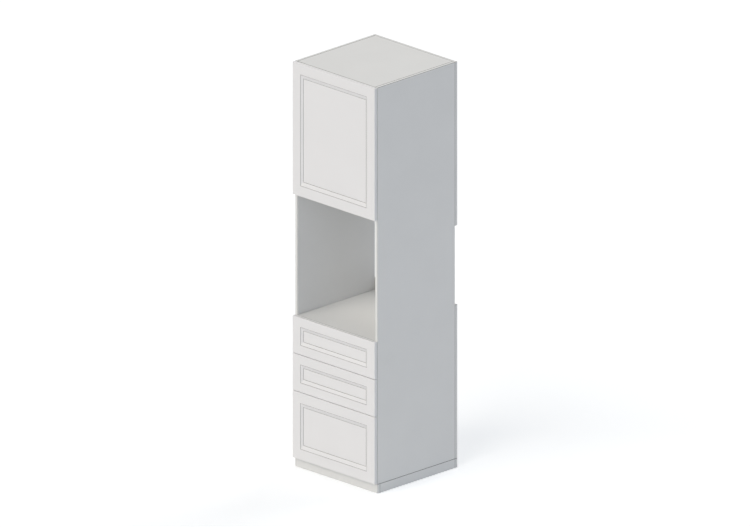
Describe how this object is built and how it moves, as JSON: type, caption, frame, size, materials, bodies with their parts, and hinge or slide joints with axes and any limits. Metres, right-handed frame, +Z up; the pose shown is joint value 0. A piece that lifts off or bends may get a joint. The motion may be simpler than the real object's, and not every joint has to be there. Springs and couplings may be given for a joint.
{
  "type": "tall appliance cabinet",
  "caption": "Tall white kitchen cabinet with an open niche for a built-in appliance, a hinged cupboard door above and drawers below, on a low plinth.",
  "frame": {"origin": "on the floor under the middle of the cabinet's box", "axes": "+Z up, -Y out of the front, +X to the right seen from the front"},
  "size_m": [0.6, 0.6, 2.21],
  "materials": {
    "lacquered_mdf": "satin lacquer",
    "white_melamine": "matt melamine",
    "drawer_board": "matt foil",
    "coated_rail_steel": "epoxy coat",
    "roller_nylon": "matt",
    "plunger_plastic": "matt",
    "latch_plastic": "matt",
    "nickelled_steel": "nickel plated",
    "zinc_fittings": "die cast",
    "bumper_silicone": "clear soft"
  },
  "bodies": {
    "carcass": {"side_left": "white_melamine", "side_right": "white_melamine", "top_panel": "white_melamine", "cupboard_floor": "white_melamine", "appliance_shelf": "white_melamine", "bottom_panel": "white_melamine", "back_upper": "white_melamine", "back_lower": "white_melamine", "plinth_front": "white_melamine", "plinth_left": "white_melamine", "plinth_right": "white_melamine", "plinth_back": "white_melamine", "plinth_rail": "white_melamine", "cupboard_shelf": "white_melamine", "shelf_pins": "nickelled_steel", "cam_locks": "zinc_fittings", "cam_bolts": "zinc_fittings", "hinge_leaf_top": "nickelled_steel", "hinge_leaf_bottom": "nickelled_steel", "latch_housings": "latch_plastic", "drawer_1_cabinet_rails": "coated_rail_steel", "drawer_2_cabinet_rails": "coated_rail_steel", "drawer_3_cabinet_rails": "coated_rail_steel"},
    "door": {"door_panel": "lacquered_mdf", "hinge_pins": "nickelled_steel", "door_bumpers": "bumper_silicone"},
    "door_latch_plunger": {"door_latch_plunger": "plunger_plastic"},
    "drawer_1": {"drawer_1_front": "lacquered_mdf", "drawer_1_box_left": "drawer_board", "drawer_1_box_right": "drawer_board", "drawer_1_box_front": "drawer_board", "drawer_1_box_back": "drawer_board", "drawer_1_box_bottom": "drawer_board", "drawer_1_drawer_rails": "coated_rail_steel"},
    "drawer_1_front_rollers": {"drawer_1_front_rollers": "roller_nylon"},
    "drawer_1_rear_rollers": {"drawer_1_rear_rollers": "roller_nylon"},
    "drawer_1_latch_plunger": {"drawer_1_latch_plunger": "plunger_plastic"},
    "drawer_2": {"drawer_2_front": "lacquered_mdf", "drawer_2_box_left": "drawer_board", "drawer_2_box_right": "drawer_board", "drawer_2_box_front": "drawer_board", "drawer_2_box_back": "drawer_board", "drawer_2_box_bottom": "drawer_board", "drawer_2_drawer_rails": "coated_rail_steel"},
    "drawer_2_front_rollers": {"drawer_2_front_rollers": "roller_nylon"},
    "drawer_2_rear_rollers": {"drawer_2_rear_rollers": "roller_nylon"},
    "drawer_2_latch_plunger": {"drawer_2_latch_plunger": "plunger_plastic"},
    "drawer_3": {"drawer_3_front": "lacquered_mdf", "drawer_3_box_left": "drawer_board", "drawer_3_box_right": "drawer_board", "drawer_3_box_front": "drawer_board", "drawer_3_box_back": "drawer_board", "drawer_3_box_bottom": "drawer_board", "drawer_3_drawer_rails": "coated_rail_steel"},
    "drawer_3_front_rollers": {"drawer_3_front_rollers": "roller_nylon"},
    "drawer_3_rear_rollers": {"drawer_3_rear_rollers": "roller_nylon"},
    "drawer_3_latch_plunger": {"drawer_3_latch_plunger": "plunger_plastic"}
  },
  "joints": [
    {"name": "door_swing", "type": "hinge", "parent": "carcass", "child": "door", "pos_m": [-0.2925, -0.293, 1.85], "axis": [0, 0, -1], "range_deg": [0, 100]},
    {"name": "door_latch_press", "type": "slide", "parent": "carcass", "child": "door_latch_plunger", "axis": [0, 1, 0], "range_m": [0, 0.003], "stiffness_N_per_m": 300},
    {"name": "drawer_1_slide", "type": "slide", "parent": "carcass", "child": "drawer_1", "axis": [0, -1, 0], "range_m": [0, 0.38]},
    {"name": "drawer_1_front_roller_spin", "type": "hinge", "parent": "carcass", "child": "drawer_1_front_rollers", "pos_m": [0, -0.264, 0.6653], "axis": [1, 0, 0], "range_deg": [0, 1981]},
    {"name": "drawer_1_rear_roller_spin", "type": "hinge", "parent": "drawer_1", "child": "drawer_1_rear_rollers", "pos_m": [0, 0.204, 0.6653], "axis": [1, 0, 0], "range_deg": [0, 1981]},
    {"name": "drawer_1_latch_press", "type": "slide", "parent": "carcass", "child": "drawer_1_latch_plunger", "axis": [0, 1, 0], "range_m": [0, 0.003], "stiffness_N_per_m": 300},
    {"name": "drawer_2_slide", "type": "slide", "parent": "carcass", "child": "drawer_2", "axis": [0, -1, 0], "range_m": [0, 0.38]},
    {"name": "drawer_2_front_roller_spin", "type": "hinge", "parent": "carcass", "child": "drawer_2_front_rollers", "pos_m": [0, -0.264, 0.4613], "axis": [1, 0, 0], "range_deg": [0, 1981]},
    {"name": "drawer_2_rear_roller_spin", "type": "hinge", "parent": "drawer_2", "child": "drawer_2_rear_rollers", "pos_m": [0, 0.204, 0.4613], "axis": [1, 0, 0], "range_deg": [0, 1981]},
    {"name": "drawer_2_latch_press", "type": "slide", "parent": "carcass", "child": "drawer_2_latch_plunger", "axis": [0, 1, 0], "range_m": [0, 0.003], "stiffness_N_per_m": 300},
    {"name": "drawer_3_slide", "type": "slide", "parent": "carcass", "child": "drawer_3", "axis": [0, -1, 0], "range_m": [0, 0.38]},
    {"name": "drawer_3_front_roller_spin", "type": "hinge", "parent": "carcass", "child": "drawer_3_front_rollers", "pos_m": [0, -0.264, 0.0933], "axis": [1, 0, 0], "range_deg": [0, 1981]},
    {"name": "drawer_3_rear_roller_spin", "type": "hinge", "parent": "drawer_3", "child": "drawer_3_rear_rollers", "pos_m": [0, 0.204, 0.0933], "axis": [1, 0, 0], "range_deg": [0, 1981]},
    {"name": "drawer_3_latch_press", "type": "slide", "parent": "carcass", "child": "drawer_3_latch_plunger", "axis": [0, 1, 0], "range_m": [0, 0.003], "stiffness_N_per_m": 300}
  ],
  "couplings": [
    {"joint": "drawer_1_front_roller_spin", "follows": "drawer_1_slide", "rad_per_m": 90.909},
    {"joint": "drawer_1_rear_roller_spin", "follows": "drawer_1_slide", "rad_per_m": 90.909},
    {"joint": "drawer_2_front_roller_spin", "follows": "drawer_2_slide", "rad_per_m": 90.909},
    {"joint": "drawer_2_rear_roller_spin", "follows": "drawer_2_slide", "rad_per_m": 90.909},
    {"joint": "drawer_3_front_roller_spin", "follows": "drawer_3_slide", "rad_per_m": 90.909},
    {"joint": "drawer_3_rear_roller_spin", "follows": "drawer_3_slide", "rad_per_m": 90.909}
  ]
}
